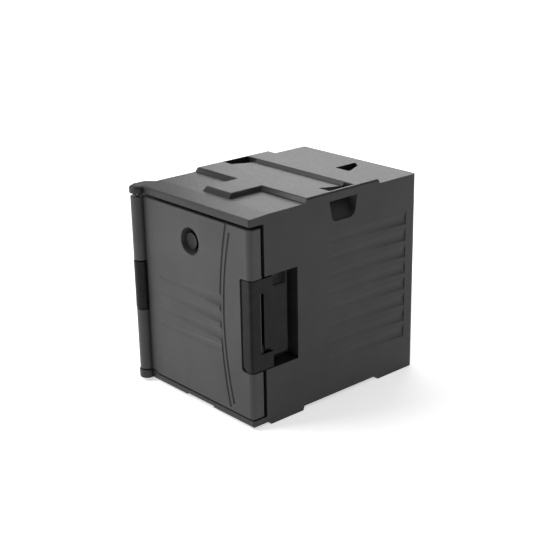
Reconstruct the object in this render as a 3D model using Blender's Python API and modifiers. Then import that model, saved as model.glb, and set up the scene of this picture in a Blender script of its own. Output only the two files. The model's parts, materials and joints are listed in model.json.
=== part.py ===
"""Front-loading insulated food carrier for GN 1/1 pans: rotomoulded, foam-filled body and door.

Places are given in millimetres as (u, v, z): u runs right from the body's left wall, v runs back
from the door's front face, z runs up from the floor. at() turns them into metres around the
middle of the whole object's box.
"""
import math

import bmesh
import bpy
from mathutils import Matrix, Vector

MM = 0.001
GAP = 0.3                       # clearance left between touching pieces

# Body
BODY_W = 475.0
BODY_D = 650.0
BODY_H = 625.0                  # to the top of the raised stacking band
STEP = 13.0                     # height of the band over the decks
DECK_Z = BODY_H - STEP
SIDE_WALL = 8.0
SKIN = 5.5
RIM_V = 51.0                    # front rim of the body, behind the door
LIP_Z = 587.0                   # underside of the lip over the door
LIP_FRONT_Z = 608.5             # front edge of the lip, a little below the deck
LIP_SLOPE_V = 70.0
SILL_Z = (10.0, 28.0)
BAND_V = (200.0, 486.0)
STEM_U = (178.0, 297.0)         # stem of the T, running forward from the band
STEM_V = (83.0, 97.0)           # foot and top of the stem's sloped front
FOOT_V = (60.0, 188.0, 494.0)
CHANNEL_Z = 12.6
FILL_Z = 300.0                  # height of the foam filling port in the rear wall

# Pan chamber
CHAMBER_U = (70.0, 405.0)
CHAMBER_V = (RIM_V - 5.0, 595.0)
CHAMBER_Z = (78.0, 542.0)
RAIL_COUNT = 11
RAIL_DEPTH = 12.0
RAIL_THICK = 9.0
RAIL_V = (64.0, 588.0)

# Hand holds at the two top edges
HOLD_V = (300.0, 398.0)
HOLD_BAR = 9.0                  # thickness of the bar that the fingers close on
HOLD_BAR_Z = 598.0
HOLD_DEEP_U = 50.0
HOLD_RAMP_Z = (529.0, 604.0)
VALLEY_Z = 608.0

# Side flutes
FLUTE_COUNT = 8
FLUTE_TOP_Z = 484.6
FLUTE_PITCH = 50.9
FLUTE_V = (300.0, 606.0)
FLUTE_CHORD = 40.0
FLUTE_DEEP = 3.6

# Door
DOOR_T = 42.0
DOOR_Z = (31.0, 578.5)
DOOR_EDGE_R = 16.0
DOOR_LEFT_U = 1.0
DOOR_FLUTE_Z = (352.0, 302.5, 253.0, 203.5)
DOOR_FLUTE_U = (100.0, 347.0)
GROOVE_R = 2.4
GROOVES = ((347.0, 1113.0, 42.0, 590.0), (361.5, 968.0, 56.0, 556.0))   # u at middle, radius, z range
GROOVE_MID_Z = 308.0
DOOR_FOAM_U = (22.0, 469.0)
DOOR_FOAM_V = (6.5, 34.5)
DOOR_FOAM_Z = (44.0, 572.5)
DOOR_PORT = (300.0, 21.0, 9.0)  # u, v and radius of the filling port in the door's top edge
GASKET_OUTER = ((46.0, 429.0), (54.0, 566.0))
GASKET_WIDTH = 14.0
GASKET_V = (39.3, RIM_V - GAP)

# Hinge
AXIS_U = -13.0
AXIS_V = -3.0
BOSS_R = 24.0
BOSS_LOW_Z = (10.0, 36.0)
BOSS_HIGH_Z = (LIP_Z, 608.5)
COLUMN_R = 21.5
KNUCKLE_R = 22.5
KNUCKLE_Z = (233.0, 383.0)
ROD_R = 5.0
ROD_Z = (18.0, 600.0)
PLUG_R = 8.0
BUSH_R = 8.0
BUSH_L = 22.0
EAR_V = (40.0, 72.0)
EAR_RAISED_V = 26.0
EAR_RAISED_U = (29.0, 46.0)     # raised part of the sill ends in a slope between these
COLUMN_Z = ((38.5, 231.0), (385.0, 577.8))
ARM_U = (-14.0, -0.6)
PLATE_U = (-8.5, -GAP)
PLATE_V = (54.0, 118.0)
SCREW_R = 2.1
BRACKET_SCREWS = [(v, z) for v in (78.0, 106.0) for z in (262.0, 354.0)]

# Latch: a frame that wraps the door's free corner and swings on a pin behind its front leg
LATCH_Z = (172.0, 436.0)
LATCH_AXIS = (446.0, 11.5)
LATCH_LEFT_U = 438.0
LATCH_T = 6.0
LATCH_FACE_V = 0.4
LATCH_SIDE_V = 80.0
WINDOW_V = (34.0, 58.0)
WINDOW_Z = (219.0, 395.0)
LEAF_U = (458.0, 464.0)
LEAF_V = (58.0, 138.0)
LEAF_Z = (200.0, 402.0)
LATCH_KNUCKLE_R = 4.5
LATCH_KNUCKLE_Z = (240.0, 368.0)
LUG_Z = ((222.0, 239.5), (368.5, 386.0))
BASE_U = (441.5, 466.0)
BASE_V = (17.0, 19.7)
BASE_Z = (215.0, 393.0)
PIN_R = 2.5
NOTCH_U = 431.5
NOTCH_V = 20.0
NOTCH_Z = (168.5, 438.5)
POCKET_U = 430.0
POCKET_V = (45.0, 170.0)
POCKET_Z = (169.0, 440.5)
KEEPER_V = (60.0, 150.0)
KEEPER_Z = (225.0, 385.0)
KEEPER_SCREW_V = 130.0
KEEPER_SCREWS = (250.0, 360.0)
BASE_SCREW_U = 459.0
BASE_SCREWS = (260.0, 348.0)

# Vent
VENT_U = 220.0
VENT_Z = 492.0
VENT_MOUTH_R = 38.0
VENT_FLOOR_R = 31.0
VENT_FLOOR_V = 37.0
VENT_KNOB_R = 24.0
VENT_KNOB_V = 7.0
SLEEVE_R = 9.7
FLANGE_R = 17.0

# The origin is the middle of the whole box on the floor
LEFT_REACH = BOSS_R - AXIS_U
FRONT_REACH = BOSS_R - AXIS_V
LEFT_X = LEFT_REACH - (BODY_W + LEFT_REACH) / 2
FRONT_Y = FRONT_REACH - (BODY_D + FRONT_REACH) / 2

COLOURS = {
    "shell": ("3b3b3d", 0.55, 0.0),
    "foam": ("d8c79a", 0.9, 0.0),
    "nylon": ("17171a", 0.45, 0.0),
    "rubber": ("202022", 0.8, 0.0),
    "steel": ("b8babd", 0.3, 1.0),
}


def at(u, v, z):
    return Vector((LEFT_X + u, FRONT_Y + v, z)) * MM


def clear_scene():
    for obj in list(bpy.data.objects):
        bpy.data.objects.remove(obj, do_unlink=True)


def make_collection(name):
    collection = bpy.data.collections.new(name)
    bpy.context.scene.collection.children.link(collection)
    return collection


clear_scene()
PARTS = make_collection("insulated_food_carrier")
CUTTERS = make_collection("cutters")


# ---------------------------------------------------------------- making shapes

def linear(hex_colour):
    values = [int(hex_colour[i:i + 2], 16) / 255 for i in (0, 2, 4)]
    return [c / 12.92 if c <= 0.04045 else ((c + 0.055) / 1.055) ** 2.4 for c in values] + [1.0]


def finish(obj, kind):
    """Give a piece its own material and smooth its round faces."""
    colour, roughness, metallic = COLOURS[kind]
    material = bpy.data.materials.new(obj.name + "_" + kind)
    material.use_nodes = True
    shader = material.node_tree.nodes["Principled BSDF"]
    shader.inputs["Base Color"].default_value = linear(colour)
    shader.inputs["Roughness"].default_value = roughness
    shader.inputs["Metallic"].default_value = metallic
    obj.data.materials.clear()
    obj.data.materials.append(material)
    obj.data.shade_smooth()
    obj.data.set_sharp_from_angle(angle=math.radians(32))
    return obj


def place(name, mesh, cutter):
    obj = bpy.data.objects.new(name, mesh)
    (CUTTERS if cutter else PARTS).objects.link(obj)
    if cutter:
        obj.hide_render = True
        obj.display_type = "WIRE"
    return obj


def from_bmesh(bm, name, cutter):
    bmesh.ops.recalc_face_normals(bm, faces=bm.faces)
    mesh = bpy.data.meshes.new(name)
    bm.to_mesh(mesh)
    bm.free()
    return place(name, mesh, cutter)


def block(name, u, v, z, round_by=0.0, cutter=True):
    """A box between two values of u, v and z, with its edges rounded by round_by."""
    low = at(u[0], v[0], z[0])
    high = at(u[1], v[1], z[1])
    scale = Matrix.Diagonal((high - low).to_4d())
    scale[3][3] = 1.0
    bm = bmesh.new()
    bmesh.ops.create_cube(bm, size=1.0, matrix=Matrix.Translation((low + high) / 2) @ scale)
    if round_by:
        bmesh.ops.bevel(bm, geom=bm.edges[:], offset=round_by * MM, segments=2,
                        affect="EDGES", profile=0.5)
    return from_bmesh(bm, name, cutter)


# which way a turned shape's top faces
TURNS = {
    "up": Matrix.Identity(4),
    "front": Matrix.Rotation(math.radians(90), 4, "X"),
    "back": Matrix.Rotation(math.radians(-90), 4, "X"),
    "right": Matrix.Rotation(math.radians(90), 4, "Y"),
    "left": Matrix.Rotation(math.radians(-90), 4, "Y"),
}


def rod(name, start, end, radius, end_radius=None, sides=32, cutter=True):
    """A cylinder, or a cone, between two points."""
    low, high = at(*start), at(*end)
    along = high - low
    turn = along.to_track_quat("Z", "Y").to_matrix().to_4x4()
    bm = bmesh.new()
    bmesh.ops.create_cone(bm, cap_ends=True, segments=sides, radius1=radius * MM,
                          radius2=(end_radius or radius) * MM, depth=along.length,
                          matrix=Matrix.Translation((low + high) / 2) @ turn)
    return from_bmesh(bm, name, cutter)


def turned(name, profile, place_at, faces="up", steps=32, closed=False, cutter=True):
    """A profile of (radius, height) points, from its top down, turned about an axis."""
    mesh = bpy.data.meshes.new(name)
    points = [(r * MM, 0.0, h * MM) for r, h in profile]
    edges = [(i, i + 1) for i in range(len(points) - 1)]
    if closed:
        edges.append((len(points) - 1, 0))
    mesh.from_pydata(points, edges, [])
    obj = place(name, mesh, cutter)
    screw = obj.modifiers.new("turn", "SCREW")
    screw.axis = "Z"
    screw.angle = math.tau
    screw.steps = steps
    screw.render_steps = steps
    screw.use_merge_vertices = True
    screw.merge_threshold = 0.00005
    screw.use_smooth_shade = True
    obj.matrix_world = Matrix.Translation(at(*place_at)) @ TURNS[faces]
    return obj


def rounded(corners, steps=4):
    """Outline through corners of (x, y, radius), with an arc at each corner that has a radius."""
    points = []
    count = len(corners)
    for i, (x, y, radius) in enumerate(corners):
        here = Vector((x, y))
        if radius <= 0:
            points.append((x, y))
            continue
        back = (Vector(corners[i - 1][:2]) - here).normalized()
        ahead = (Vector(corners[(i + 1) % count][:2]) - here).normalized()
        half = back.angle(ahead) / 2
        reach = radius / math.tan(half)
        centre = here + (back + ahead).normalized() * radius / math.sin(half)
        first = here + back * reach - centre
        last = here + ahead * reach - centre
        sweep = first.angle_signed(last)
        for k in range(steps + 1):
            turn = Matrix.Rotation(-sweep * k / steps, 2)
            points.append(tuple(centre + turn @ first))
    return points


PLANES = {
    "uv": Matrix(((1, 0, 0), (0, 1, 0), (0, 0, 1))),
    "vz": Matrix(((0, 0, 1), (1, 0, 0), (0, 1, 0))),
    "uz": Matrix(((1, 0, 0), (0, 0, -1), (0, 1, 0))),
}


def from_curve(name, curve, matrix, cutter):
    """The closed mesh of a curve object, in the world's coordinates."""
    obj = bpy.data.objects.new(name + "_curve", curve)
    CUTTERS.objects.link(obj)
    obj.matrix_world = matrix
    bpy.context.view_layer.update()
    mesh = bpy.data.meshes.new_from_object(obj.evaluated_get(bpy.context.evaluated_depsgraph_get()))
    mesh.transform(obj.matrix_world)
    bpy.data.objects.remove(obj, do_unlink=True)
    bpy.data.curves.remove(curve)
    bm = bmesh.new()
    bm.from_mesh(mesh)
    bpy.data.meshes.remove(mesh)
    bmesh.ops.remove_doubles(bm, verts=bm.verts, dist=0.00001)
    return from_bmesh(bm, name, cutter)


def plate(name, outlines, plane, start, end, cutter=True):
    """Flat outlines in a plane, given thickness between two values of the third coordinate.

    A second outline inside the first is a hole.
    """
    curve = bpy.data.curves.new(name, "CURVE")
    curve.dimensions = "2D"
    curve.fill_mode = "BOTH"
    curve.extrude = (end - start) / 2 * MM
    for outline in outlines:
        spline = curve.splines.new("POLY")
        spline.points.add(len(outline) - 1)
        spline.use_cyclic_u = True
        for point, (x, y) in zip(spline.points, outline):
            point.co = (x * MM, y * MM, 0.0, 1.0)
    middle = (start + end) / 2
    origin = {"uv": at(0, 0, middle), "vz": at(middle, 0, 0), "uz": at(0, middle, 0)}[plane]
    return from_curve(name, curve, Matrix.Translation(origin) @ PLANES[plane].to_4x4(), cutter)


def tube(name, points, radius, cutter=True):
    """A round tube with closed ends through points of (u, v, z)."""
    curve = bpy.data.curves.new(name, "CURVE")
    curve.dimensions = "3D"
    curve.bevel_depth = radius * MM
    curve.bevel_resolution = 1
    curve.use_fill_caps = True
    spline = curve.splines.new("POLY")
    spline.points.add(len(points) - 1)
    for point, place_at in zip(spline.points, points):
        point.co = (*at(*place_at), 1.0)
    return from_curve(name, curve, Matrix.Identity(4), cutter)


def combine(target, others, operation):
    for other in others:
        boolean = target.modifiers.new(other.name[:60], "BOOLEAN")
        boolean.operation = operation
        boolean.solver = "EXACT"
        boolean.object = other
    return target


def cut(target, *others):
    return combine(target, others, "DIFFERENCE")


def join(target, *others):
    return combine(target, others, "UNION")


def pivot(name, place_at, parent=None):
    empty = bpy.data.objects.new(name, None)
    PARTS.objects.link(empty)
    empty.parent = parent
    empty.location = at(*place_at) - (parent.matrix_world.translation if parent else Vector())
    bpy.context.view_layer.update()
    return empty


def hang(empty, *pieces):
    """Put finished pieces on a pivot, leaving them where they are."""
    for piece in pieces:
        piece.parent = empty
        piece.location = piece.location - empty.matrix_world.translation


# ---------------------------------------------------------------- body

def hold_section(side, grow=0.0):
    """Section (u, z) of a hand hold: in at the side, under the bar and up through the top."""
    points = [(-20.0, HOLD_RAMP_Z[0] - 20.0 * 75.0 / 51.0 - grow), (-20.0, HOLD_BAR_Z + grow),
              (HOLD_BAR - grow, HOLD_BAR_Z + grow), (HOLD_BAR - grow, BODY_H + 20.0),
              (HOLD_DEEP_U + grow, BODY_H + 20.0), (HOLD_DEEP_U + grow, HOLD_RAMP_Z[1] - grow)]
    if side == "right":
        points = [(BODY_W - u, z) for u, z in reversed(points)]
    return points


def body_outer():
    """The carrier's outside: side outline, plan outline and front outline, each taken of the others."""
    side = rounded([
        (0, SILL_Z[0], 3), (FOOT_V[0], SILL_Z[0], 0), (FOOT_V[0] + 5, 0, 0),
        (FOOT_V[1], 0, 0), (FOOT_V[1] + 4, CHANNEL_Z, 2), (FOOT_V[2] - 4, CHANNEL_Z, 2),
        (FOOT_V[2], 0, 0), (BODY_D, 0, 6), (BODY_D, DECK_Z, 8),
        (BAND_V[1] + 4, DECK_Z, 2), (BAND_V[1], BODY_H, 3), (BAND_V[0] + 4, BODY_H, 3),
        (BAND_V[0], DECK_Z, 2), (LIP_SLOPE_V, DECK_Z, 0), (0, LIP_FRONT_Z, 4),
        (0, LIP_Z, 3), (RIM_V, LIP_Z, 0), (RIM_V, SILL_Z[1], 0), (0, SILL_Z[1], 3),
    ])
    plan = rounded([(0, -1, 0), (BODY_W, -1, 7), (BODY_W, BODY_D, 16), (0, BODY_D, 16)], steps=5)
    front = rounded([(0, -1, 0), (BODY_W, -1, 0), (BODY_W, BODY_H, 7), (0, BODY_H, 7)])
    shell = plate("body_shell", [side], "vz", 0, BODY_W, cutter=False)
    combine(shell, [plate("plan_form", [plan], "uv", -5, BODY_H + 5),
                    plate("front_form", [front], "uz", -5, BODY_D + 5)], "INTERSECT")
    return shell


def hinge_end(name, z, dome):
    """Round boss at one end of the hinge, with the ear that ties it to the lip or the sill."""
    height = z[1] - z[0]
    top = [(0, height), (BOSS_R, height)]
    if dome:
        top = [(0, height), (BOSS_R - 9, height), (BOSS_R - 3, height - 2.5), (BOSS_R, height - 8)]
    boss = turned(name + "_boss", top + [(BOSS_R, 0), (0, 0)], (AXIS_U, AXIS_V, z[0]))
    side = AXIS_U - BOSS_R + 1.5
    ear_top = z[1] - 0.4 if dome else SILL_Z[1] - 0.4
    ear = plate(name + "_ear", [[(side, AXIS_V), (AXIS_U + 15, AXIS_V + 3.2), (30, 3.2), (30, EAR_V[1]),
                                 (0, EAR_V[1]), (side, EAR_V[0])]], "uv", z[0] + 0.2, ear_top)
    return [boss, ear]


def raised_sill():
    """The sill's left end stands up to the height of the hinge boss and slopes down to the sill."""
    left = AXIS_U - BOSS_R + 2.5
    low, high = SILL_Z[0] + 1, BOSS_LOW_Z[1] - 0.4
    section = plate("raised_sill", [[(left, low), (EAR_RAISED_U[1], low), (EAR_RAISED_U[1], SILL_Z[1] - 0.3),
                                     (EAR_RAISED_U[0], high), (left, high)]],
                 "uz", AXIS_V + 3.4, EAR_RAISED_V)
    return section


def pan_rails():
    """Rails along both side walls of the chamber, flat on top and sloped underneath."""
    pitch = (CHAMBER_Z[1] - CHAMBER_Z[0]) / (RAIL_COUNT + 1)
    outlines = []
    for k in range(RAIL_COUNT):
        top = CHAMBER_Z[0] + pitch * (k + 1)
        left = [(CHAMBER_U[0] - 3, top), (CHAMBER_U[0] - 3, top - RAIL_THICK - 6),
                (CHAMBER_U[0] + RAIL_DEPTH, top - RAIL_THICK + 4), (CHAMBER_U[0] + RAIL_DEPTH, top)]
        outlines.append(left)
        outlines.append([(CHAMBER_U[0] + CHAMBER_U[1] - u, z) for u, z in reversed(left)])
    return plate("pan_rails", outlines, "uz", *RAIL_V)


def body_foam_form(name, gap, cutter):
    """The space between outer and inner skin; the foam is the same form with a gap all round."""
    def spread(pair, by):
        return (pair[0] - by, pair[1] + by)
    space = block(name, spread((SIDE_WALL, BODY_W - SIDE_WALL), -gap),
                  spread((RIM_V + SKIN, BODY_D - SKIN), -gap), spread((19.5, 601.5), -gap), cutter=cutter)
    keep = SKIN + gap
    lumps = [
        block(name + "_chamber", spread(CHAMBER_U, keep), (0, CHAMBER_V[1] + keep),
              spread(CHAMBER_Z, keep)),
        block(name + "_pocket", (CHAMBER_U[1], BODY_W), spread(POCKET_V, keep), spread(POCKET_Z, keep)),
        block(name + "_bracket", (-5, 24 + gap), spread((0, PLATE_V[1] + 4), keep),
              spread(KNUCKLE_Z, keep)),
        block(name + "_scoop", (254 - gap, 332 + gap), (516 - gap, 618 + gap), (588 - gap, BODY_H)),
    ]
    for side in ("left", "right"):
        lumps.append(plate(name + "_hold_" + side, [hold_section(side, keep)], "uz",
                           HOLD_V[0] - keep, HOLD_V[1] + keep))
    return cut(space, *lumps)


def side_flutes():
    """Shallow hollows on each side, running out towards the front and ending square at the rear."""
    radius = (FLUTE_CHORD ** 2 / 4 + FLUTE_DEEP ** 2) / (2 * FLUTE_DEEP)
    flutes = []
    for side, wall, out in (("left", 0.0, -1), ("right", BODY_W, 1)):
        for k in range(FLUTE_COUNT):
            z = FLUTE_TOP_Z - FLUTE_PITCH * k
            shallow = wall + out * radius
            deep = wall + out * (radius - FLUTE_DEEP)
            flutes.append(rod(f"flute_{side}_{k}", (shallow, FLUTE_V[0], z), (deep, FLUTE_V[1], z),
                              radius, sides=32))
    return flutes


def scoop_form():
    """Wedge hollow in the rear deck, steep at its left wall and running out to the right."""
    plan = plate("scoop_plan", [[(262, 524), (322, 524), (293, 588), (262, 610)]], "uv", 580, 640,
                 cutter=True)
    section = plate("scoop_section", [[(261, 594), (330, 609), (330, 640), (261, 640)]], "uz", 515, 620)
    return combine(section, [plan], "INTERSECT")


def make_body():
    shell = body_outer()
    stem = plate("stem", [[(STEM_V[0], DECK_Z - 1), (STEM_V[1], BODY_H), (BAND_V[0] + 12, BODY_H),
                           (BAND_V[0] + 12, DECK_Z - 1)]], "vz", *STEM_U)
    join(shell, stem)
    join(shell, *hinge_end("high", BOSS_HIGH_Z, dome=True), *hinge_end("low", BOSS_LOW_Z, dome=False),
         raised_sill())
    cut(shell,
        block("chamber", CHAMBER_U, CHAMBER_V, CHAMBER_Z),
        body_foam_form("foam_space", 0.0, cutter=True),
        plate("valley", [[(HOLD_V[0], BODY_H + 0.5), (HOLD_V[1] - 3, VALLEY_Z), (HOLD_V[1], BODY_H + 0.5)]],
              "vz", HOLD_BAR, BODY_W - HOLD_BAR),
        plate("hold_left", [hold_section("left")], "uz", *HOLD_V),
        plate("hold_right", [hold_section("right")], "uz", *HOLD_V),
        block("pocket", (POCKET_U, BODY_W + 10), POCKET_V, POCKET_Z),
        block("stem_socket", (STEM_U[0] - 3, STEM_U[1] + 3), (-10, FOOT_V[1] + 8), (-5, 16)),
        scoop_form(),
        turned("rod_bore", [(0, ROD_Z[1] + GAP), (ROD_R + GAP, ROD_Z[1] + GAP),
                            (ROD_R + GAP, ROD_Z[0] - GAP), (PLUG_R + GAP, ROD_Z[0] - GAP),
                            (PLUG_R + GAP, 0), (0, 0)], (AXIS_U, AXIS_V, 0)),
        rod("fill_port", (BODY_W / 2, BODY_D - SKIN - 3, FILL_Z), (BODY_W / 2, BODY_D + 3, FILL_Z), 14 + GAP),
        *side_flutes())
    for v, z in BRACKET_SCREWS:
        cut(shell, rod("bracket_screw_hole", (-5, v, z), (14, v, z), SCREW_R + GAP, sides=16))
    for z in KEEPER_SCREWS:
        cut(shell, rod("keeper_screw_hole", (POCKET_U - 10.5, KEEPER_SCREW_V, z),
                       (POCKET_U + 5, KEEPER_SCREW_V, z), SCREW_R + GAP, sides=16))
    join(shell, pan_rails())
    return shell


def make_body_parts():
    foam = body_foam_form("body_foam", GAP, cutter=False)
    plug = turned("body_fill_plug", [(0, 3), (9, 3), (11, 4.6), (14, 4.6), (14, 0), (0, 0)],
                  (BODY_W / 2, BODY_D - SKIN + 0.4, FILL_Z), "back", cutter=False)
    length = ROD_Z[1] - ROD_Z[0]
    hinge_rod = turned("hinge_rod", [(0, length), (ROD_R - 1, length), (ROD_R, length - 1), (ROD_R, 1),
                                     (ROD_R - 1, 0), (0, 0)], (AXIS_U, AXIS_V, ROD_Z[0]), cutter=False)
    rod_plug = turned("hinge_rod_plug", [(0, 7), (PLUG_R, 7), (PLUG_R, 1), (PLUG_R - 1, 0), (0, 0)],
                      (AXIS_U, AXIS_V, BOSS_LOW_Z[0] + 0.4), cutter=False)
    finish(foam, "foam")
    finish(plug, "nylon")
    finish(hinge_rod, "steel")
    finish(rod_plug, "nylon")


def make_middle_bracket():
    """Nylon knuckle between the two door columns, on a plate screwed to the body's left wall."""
    bracket = rod("mid_hinge_bracket", (AXIS_U, AXIS_V, KNUCKLE_Z[0]), (AXIS_U, AXIS_V, KNUCKLE_Z[1]),
                  KNUCKLE_R, cutter=False)
    join(bracket,
         block("arm", ARM_U, (AXIS_V, PLATE_V[0] + 6), (KNUCKLE_Z[0] + 6, KNUCKLE_Z[1] - 6), 1.0),
         block("foot_plate", PLATE_U, PLATE_V, (KNUCKLE_Z[0] + 11, KNUCKLE_Z[1] - 11), 2.0))
    cut(bracket, rod("knuckle_bore", (AXIS_U, AXIS_V, 200), (AXIS_U, AXIS_V, 400), ROD_R + GAP))
    for v, z in BRACKET_SCREWS:
        cut(bracket, rod("plate_hole", (-20, v, z), (1, v, z), SCREW_R + GAP, sides=16))
    finish(bracket, "nylon")
    head = [(0, 2.2), (3, 2.2), (4.2, 1.2), (4.2, 0), (SCREW_R, 0), (SCREW_R, -19), (0, -21)]
    for k, (v, z) in enumerate(BRACKET_SCREWS):
        screw = turned(f"bracket_screw_{k + 1}", head, (PLATE_U[0] - GAP, v, z), "left", 16, cutter=False)
        finish(screw, "steel")


def make_keeper():
    """Plate at the back of the latch pocket, with the nose that the latch snaps past."""
    plate_u = (POCKET_U + GAP, POCKET_U + 3.3)
    keeper = block("latch_keeper", plate_u, KEEPER_V, KEEPER_Z, cutter=False)
    nose = plate("keeper_nose", [[(plate_u[1] - 1, 80), (plate_u[1] - 1, 98), (452.4, 98), (452.4, 90)]],
                 "uv", KEEPER_Z[0] + 15, KEEPER_Z[1] - 15)
    join(keeper, nose)
    head = [(0, 2), (3, 2), (4, 1), (4, 0), (SCREW_R, 0), (SCREW_R, -12), (0, -13)]
    for k, z in enumerate(KEEPER_SCREWS):
        cut(keeper, rod("keeper_hole", (POCKET_U - 5, KEEPER_SCREW_V, z), (POCKET_U + 10, KEEPER_SCREW_V, z),
                        SCREW_R + GAP, sides=16))
        screw = turned(f"keeper_screw_{k + 1}", head, (plate_u[1] + GAP, KEEPER_SCREW_V, z), "right", 16,
                       cutter=False)
        finish(screw, "steel")
    finish(keeper, "nylon")


# ---------------------------------------------------------------- door

def ring(outer, width, grow=0.0):
    """Two rectangles in (u, z), one inside the other."""
    (u0, u1), (z0, z1) = outer
    outlines = []
    for inset in (-grow, width + grow):
        outlines.append([(u0 + inset, z0 + inset), (u1 - inset, z0 + inset),
                         (u1 - inset, z1 - inset), (u0 + inset, z1 - inset)])
    return outlines


def groove(name, middle_u, radius, z_range, count=22):
    """A thin groove along an arc that bows towards the hinge side."""
    points = []
    for k in range(count):
        z = z_range[0] + (z_range[1] - z_range[0]) * k / (count - 1)
        bow = radius - math.sqrt(radius ** 2 - (z - GROOVE_MID_Z) ** 2)
        points.append((middle_u + bow, 0.0, z))
    return tube(name, points, GROOVE_R)


def door_flutes():
    radius = (FLUTE_CHORD ** 2 / 4 + FLUTE_DEEP ** 2) / (2 * FLUTE_DEEP)
    return [rod(f"door_flute_{k}", (DOOR_FLUTE_U[0], -radius - 0.2, z),
                (DOOR_FLUTE_U[1], FLUTE_DEEP - radius, z), radius, sides=32)
            for k, z in enumerate(DOOR_FLUTE_Z)]


def door_foam_form(name, gap, cutter):
    space = block(name, (DOOR_FOAM_U[0] + gap, DOOR_FOAM_U[1] - gap),
                  (DOOR_FOAM_V[0] + gap, DOOR_FOAM_V[1] - gap),
                  (DOOR_FOAM_Z[0] + gap, DOOR_FOAM_Z[1] - gap), cutter=cutter)
    return cut(space,
               rod(name + "_vent", (VENT_U, -5, VENT_Z), (VENT_U, 50, VENT_Z), VENT_MOUTH_R + 6 + gap),
               block(name + "_notch", (NOTCH_U - 6 - gap, 500), (-5, NOTCH_V + 11 + gap),
                     (NOTCH_Z[0] - 6 - gap, NOTCH_Z[1] + 6 + gap)),
               block(name + "_side", (461 - gap, 500), (-5, 60),
                     (NOTCH_Z[0] - 6 - gap, NOTCH_Z[1] + 6 + gap)))


def make_door_shell():
    plan = rounded([(DOOR_LEFT_U, 0, 0), (BODY_W, 0, DOOR_EDGE_R), (BODY_W, DOOR_T, 5),
                    (DOOR_LEFT_U, DOOR_T, 3)], steps=6)
    shell = plate("door_shell", [plan], "uv", *DOOR_Z, cutter=False)
    edges = shell.modifiers.new("soft_edges", "BEVEL")
    edges.width = 3 * MM
    edges.segments = 2
    edges.limit_method = "ANGLE"
    edges.angle_limit = math.radians(60)
    side = AXIS_U - COLUMN_R + 0.6
    web = [(side, AXIS_V), (side + 3, 16), (-8, DOOR_T - 0.4), (12, DOOR_T - 0.4), (12, 0.3),
           (AXIS_U, AXIS_V)]
    for k, z in enumerate(COLUMN_Z):
        join(shell, rod(f"column_{k}", (AXIS_U, AXIS_V, z[0]), (AXIS_U, AXIS_V, z[1]), COLUMN_R),
             plate(f"web_{k}", [web], "uv", z[0] + 0.5, z[1] - 0.5))
    cut(shell,
        rod("door_port", (DOOR_PORT[0], DOOR_PORT[1], DOOR_FOAM_Z[1] - 3),
            (DOOR_PORT[0], DOOR_PORT[1], DOOR_Z[1] + 5), DOOR_PORT[2] + GAP),
        plate("corner_clear", [[(-60, 20), (-60, COLUMN_Z[0][0]), (EAR_RAISED_U[0] + 1, COLUMN_Z[0][0]),
                                (EAR_RAISED_U[1] + 2, DOOR_Z[0]), (EAR_RAISED_U[1] + 2, 20)]],
              "uz", -60, DOOR_T + 10),
        block("knuckle_clear", (-60, DOOR_LEFT_U + 0.8), (-60, 60), (COLUMN_Z[0][1], COLUMN_Z[1][0])),
        rod("knuckle_round", (AXIS_U, AXIS_V, COLUMN_Z[0][1] + 0.1), (AXIS_U, AXIS_V, COLUMN_Z[1][0] - 0.1),
            KNUCKLE_R + 0.8),
        door_foam_form("door_foam_space", 0.0, cutter=True),
        plate("gasket_channel", ring(GASKET_OUTER, GASKET_WIDTH, GAP), "uz", GASKET_V[0] - GAP, DOOR_T + 5),
        block("latch_notch", (NOTCH_U, BODY_W + 5), (-5, NOTCH_V), NOTCH_Z),
        block("latch_side", (BODY_W - LATCH_T - 0.8, BODY_W + 5), (-5, DOOR_T + 5), NOTCH_Z),
        turned("vent_cup", [(0, 40), (VENT_MOUTH_R + 3, 40), (VENT_MOUTH_R + 3, VENT_FLOOR_V + 1),
                            (VENT_MOUTH_R, VENT_FLOOR_V - 3), (VENT_FLOOR_R, 0), (FLANGE_R + GAP, 0),
                            (FLANGE_R + GAP, -2.3), (SLEEVE_R + GAP, -2.3), (SLEEVE_R + GAP, -20),
                            (0, -20)], (VENT_U, VENT_FLOOR_V, VENT_Z), "front"),
        *door_flutes())
    for k, (middle_u, radius, low_z, high_z) in enumerate(GROOVES):
        cut(shell, groove(f"groove_{k}", middle_u, radius, (low_z, high_z)))
    for k, z in enumerate(COLUMN_Z):
        cut(shell, turned(f"column_bore_{k}", [
            (0, z[1] + 5), (BUSH_R + GAP, z[1] + 5), (BUSH_R + GAP, z[1] - BUSH_L - GAP),
            (ROD_R + 1.2, z[1] - BUSH_L - GAP), (ROD_R + 1.2, z[0] + BUSH_L + GAP),
            (BUSH_R + GAP, z[0] + BUSH_L + GAP), (BUSH_R + GAP, z[0] - 5), (0, z[0] - 5)],
            (AXIS_U, AXIS_V, 0)))
    for z in BASE_SCREWS:
        cut(shell, rod("base_screw_hole", (BASE_SCREW_U, NOTCH_V - 5, z), (BASE_SCREW_U, NOTCH_V + 9.5, z),
                       1.6 + GAP, sides=16))
    return finish(shell, "shell")


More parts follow.
